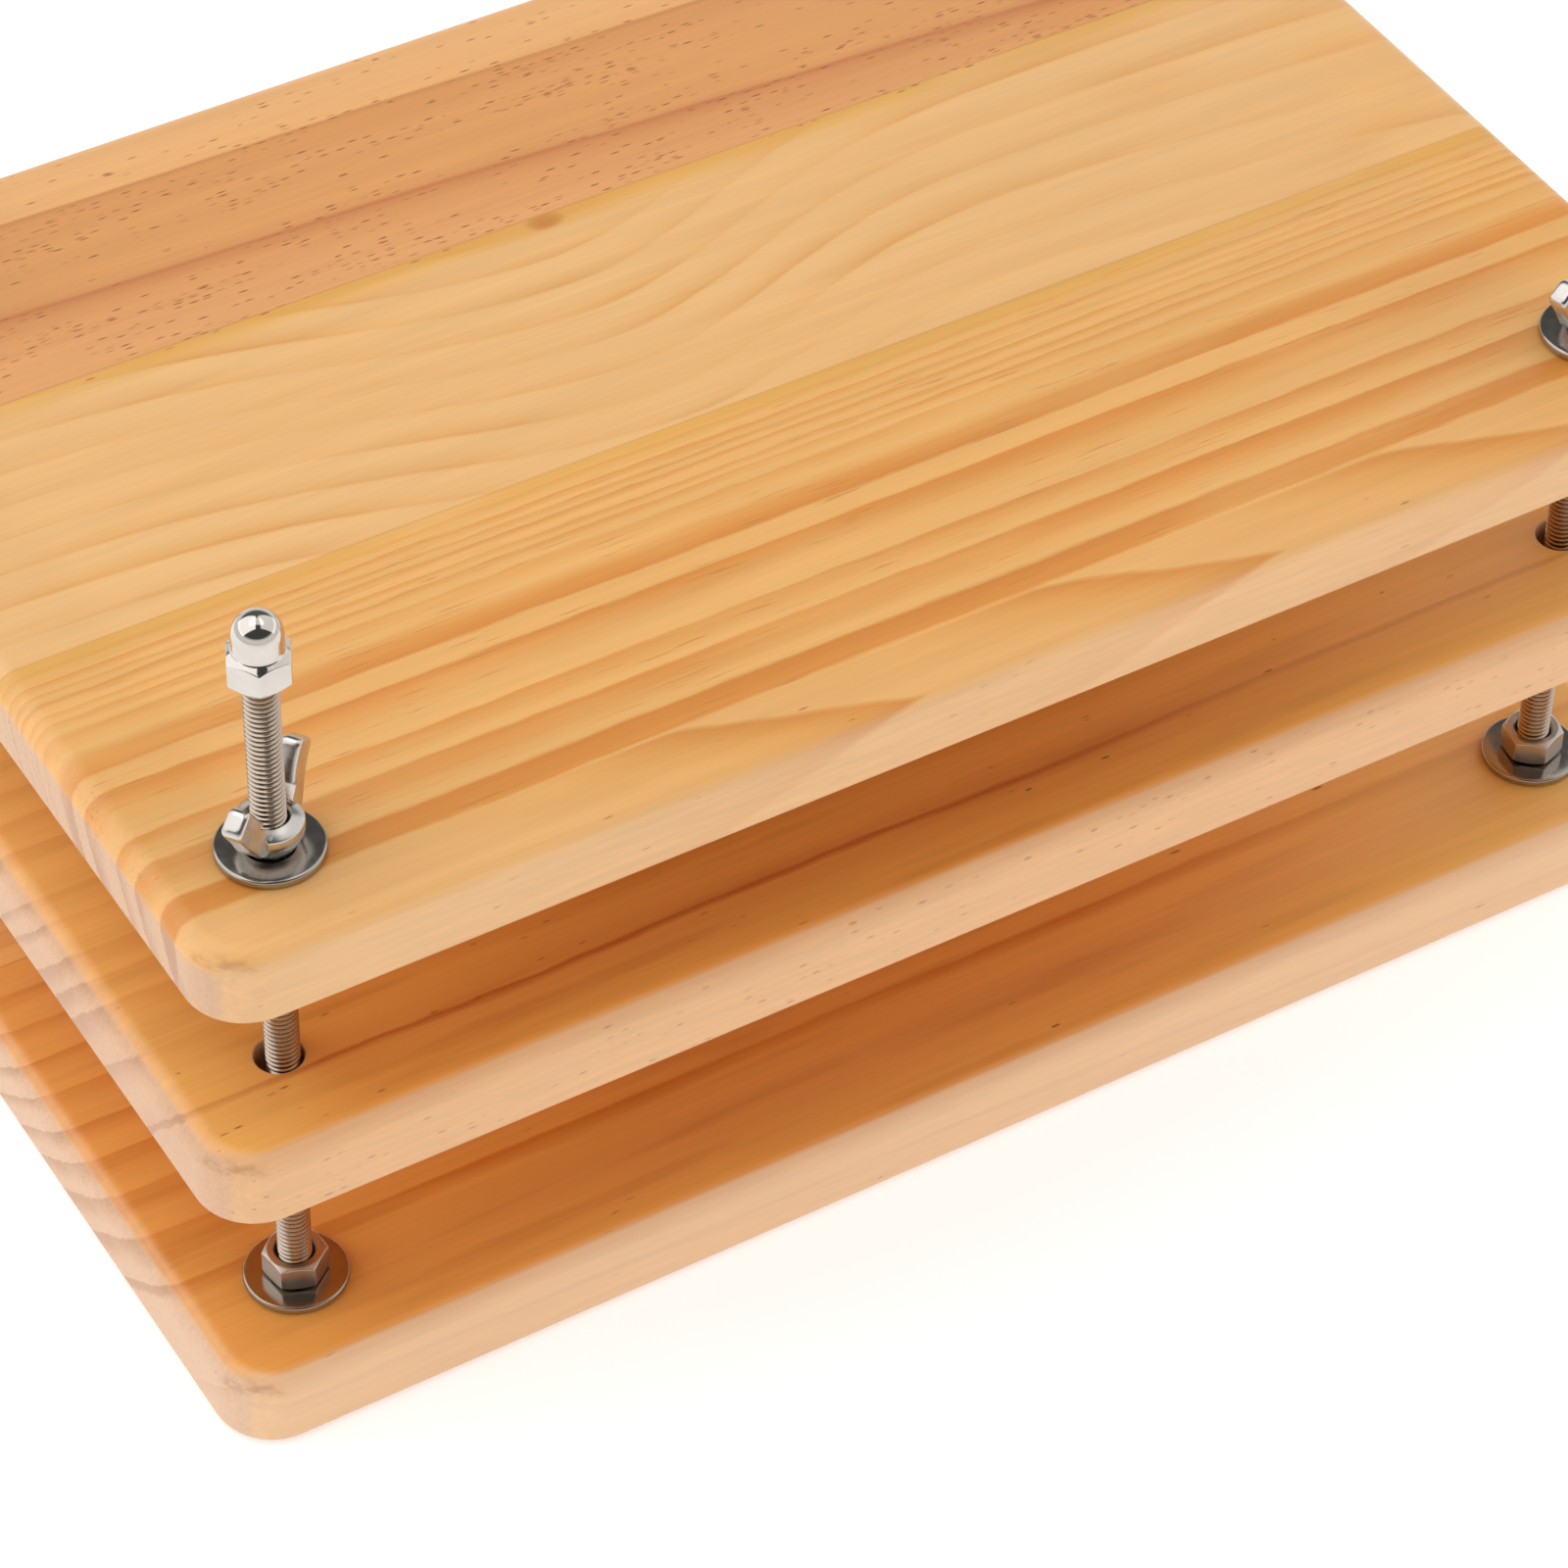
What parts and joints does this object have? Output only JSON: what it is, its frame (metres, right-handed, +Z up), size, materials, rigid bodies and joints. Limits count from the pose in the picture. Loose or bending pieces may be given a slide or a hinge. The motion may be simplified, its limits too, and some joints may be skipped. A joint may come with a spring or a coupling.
{
  "type": "book press",
  "caption": "Wooden book press: pine boards with rounded edges slide on threaded rods and are squeezed together by wing nuts over wide washers, with cap nuts on the rod ends.",
  "frame": {"origin": "middle of the bottom board's underside, where the press stands on the bench", "axes": "+X along the boards' length and grain, +Y from the pictured front edge to the back edge, +Z up along the rods"},
  "size_m": [0.3008, 0.2003, 0.1662],
  "materials": {
    "pine": "planed and lightly oiled pine, grain along the length",
    "rod_steel": "rolled stainless thread",
    "washer_steel": "polished stainless sheet",
    "nut_steel": "bright stainless",
    "wing_nut_steel": "tumbled stainless casting",
    "cap_nut_steel": "polished stainless"
  },
  "bodies": {
    "base": {"bottom_board": "pine", "threaded_rod_front_left": "rod_steel", "threaded_rod_front_right": "rod_steel", "threaded_rod_back_left": "rod_steel", "threaded_rod_back_right": "rod_steel", "foot_nut_front_left": "nut_steel", "foot_nut_front_right": "nut_steel", "foot_nut_back_left": "nut_steel", "foot_nut_back_right": "nut_steel", "foot_washer_front_left": "washer_steel", "foot_washer_front_right": "washer_steel", "foot_washer_back_left": "washer_steel", "foot_washer_back_right": "washer_steel", "base_washer_front_left": "washer_steel", "base_washer_front_right": "washer_steel", "base_washer_back_left": "washer_steel", "base_washer_back_right": "washer_steel", "base_nut_front_left": "nut_steel", "base_nut_front_right": "nut_steel", "base_nut_back_left": "nut_steel", "base_nut_back_right": "nut_steel", "cap_nut_front_left": "cap_nut_steel", "cap_nut_front_right": "cap_nut_steel", "cap_nut_back_left": "cap_nut_steel", "cap_nut_back_right": "cap_nut_steel"},
    "middle_plate": {"middle_board": "pine"},
    "top_plate": {"top_board": "pine"},
    "washer_front_left": {"top_washer_front_left": "washer_steel"},
    "washer_front_right": {"top_washer_front_right": "washer_steel"},
    "washer_back_left": {"top_washer_back_left": "washer_steel"},
    "washer_back_right": {"top_washer_back_right": "washer_steel"},
    "wing_front_left": {"wing_nut_front_left": "wing_nut_steel"},
    "wing_front_right": {"wing_nut_front_right": "wing_nut_steel"},
    "wing_back_left": {"wing_nut_back_left": "wing_nut_steel"},
    "wing_back_right": {"wing_nut_back_right": "wing_nut_steel"}
  },
  "joints": [
    {"name": "middle_board_slide", "type": "slide", "parent": "base", "child": "middle_plate", "axis": [0, 0, 1], "range_m": [-0.0325, 0.0095]},
    {"name": "top_board_slide", "type": "slide", "parent": "middle_plate", "child": "top_plate", "axis": [0, 0, 1], "range_m": [-0.0307, 0.0145]},
    {"name": "washer_turn_front_left", "type": "hinge", "parent": "top_plate", "child": "washer_front_left", "pos_m": [-0.129, -0.079, 0.1171], "axis": [0, 0, 1], "range_deg": [-11705, 3425]},
    {"name": "washer_turn_front_right", "type": "hinge", "parent": "top_plate", "child": "washer_front_right", "pos_m": [0.129, -0.079, 0.1171], "axis": [0, 0, 1], "range_deg": [-11705, 3425]},
    {"name": "washer_turn_back_left", "type": "hinge", "parent": "top_plate", "child": "washer_back_left", "pos_m": [-0.129, 0.079, 0.1171], "axis": [0, 0, 1], "range_deg": [-11705, 3425]},
    {"name": "washer_turn_back_right", "type": "hinge", "parent": "top_plate", "child": "washer_back_right", "pos_m": [0.129, 0.079, 0.1171], "axis": [0, 0, 1], "range_deg": [-11705, 3425]},
    {"name": "wing_nut_turn_front_left", "type": "hinge", "parent": "washer_front_left", "child": "wing_front_left", "pos_m": [-0.129, -0.079, 0.1179], "axis": [0, 0, 1], "range_deg": [-11057, 5225]},
    {"name": "wing_nut_turn_front_right", "type": "hinge", "parent": "washer_front_right", "child": "wing_front_right", "pos_m": [0.129, -0.079, 0.1179], "axis": [0, 0, 1], "range_deg": [-11057, 5225]},
    {"name": "wing_nut_turn_back_left", "type": "hinge", "parent": "washer_back_left", "child": "wing_back_left", "pos_m": [-0.129, 0.079, 0.1179], "axis": [0, 0, 1], "range_deg": [-11057, 5225]},
    {"name": "wing_nut_turn_back_right", "type": "hinge", "parent": "washer_back_right", "child": "wing_back_right", "pos_m": [0.129, 0.079, 0.1179], "axis": [0, 0, 1], "range_deg": [-11057, 5225]}
  ],
  "couplings": [
    {"joint": "washer_turn_front_left", "follows": "middle_board_slide", "rad_per_m": 6283.2},
    {"joint": "washer_turn_front_right", "follows": "middle_board_slide", "rad_per_m": 6283.2},
    {"joint": "washer_turn_back_left", "follows": "middle_board_slide", "rad_per_m": 6283.2},
    {"joint": "washer_turn_back_right", "follows": "middle_board_slide", "rad_per_m": 6283.2},
    {"joint": "wing_nut_turn_front_left", "follows": "top_board_slide", "rad_per_m": 6283.2},
    {"joint": "wing_nut_turn_front_right", "follows": "top_board_slide", "rad_per_m": 6283.2},
    {"joint": "wing_nut_turn_back_left", "follows": "top_board_slide", "rad_per_m": 6283.2},
    {"joint": "wing_nut_turn_back_right", "follows": "top_board_slide", "rad_per_m": 6283.2}
  ]
}
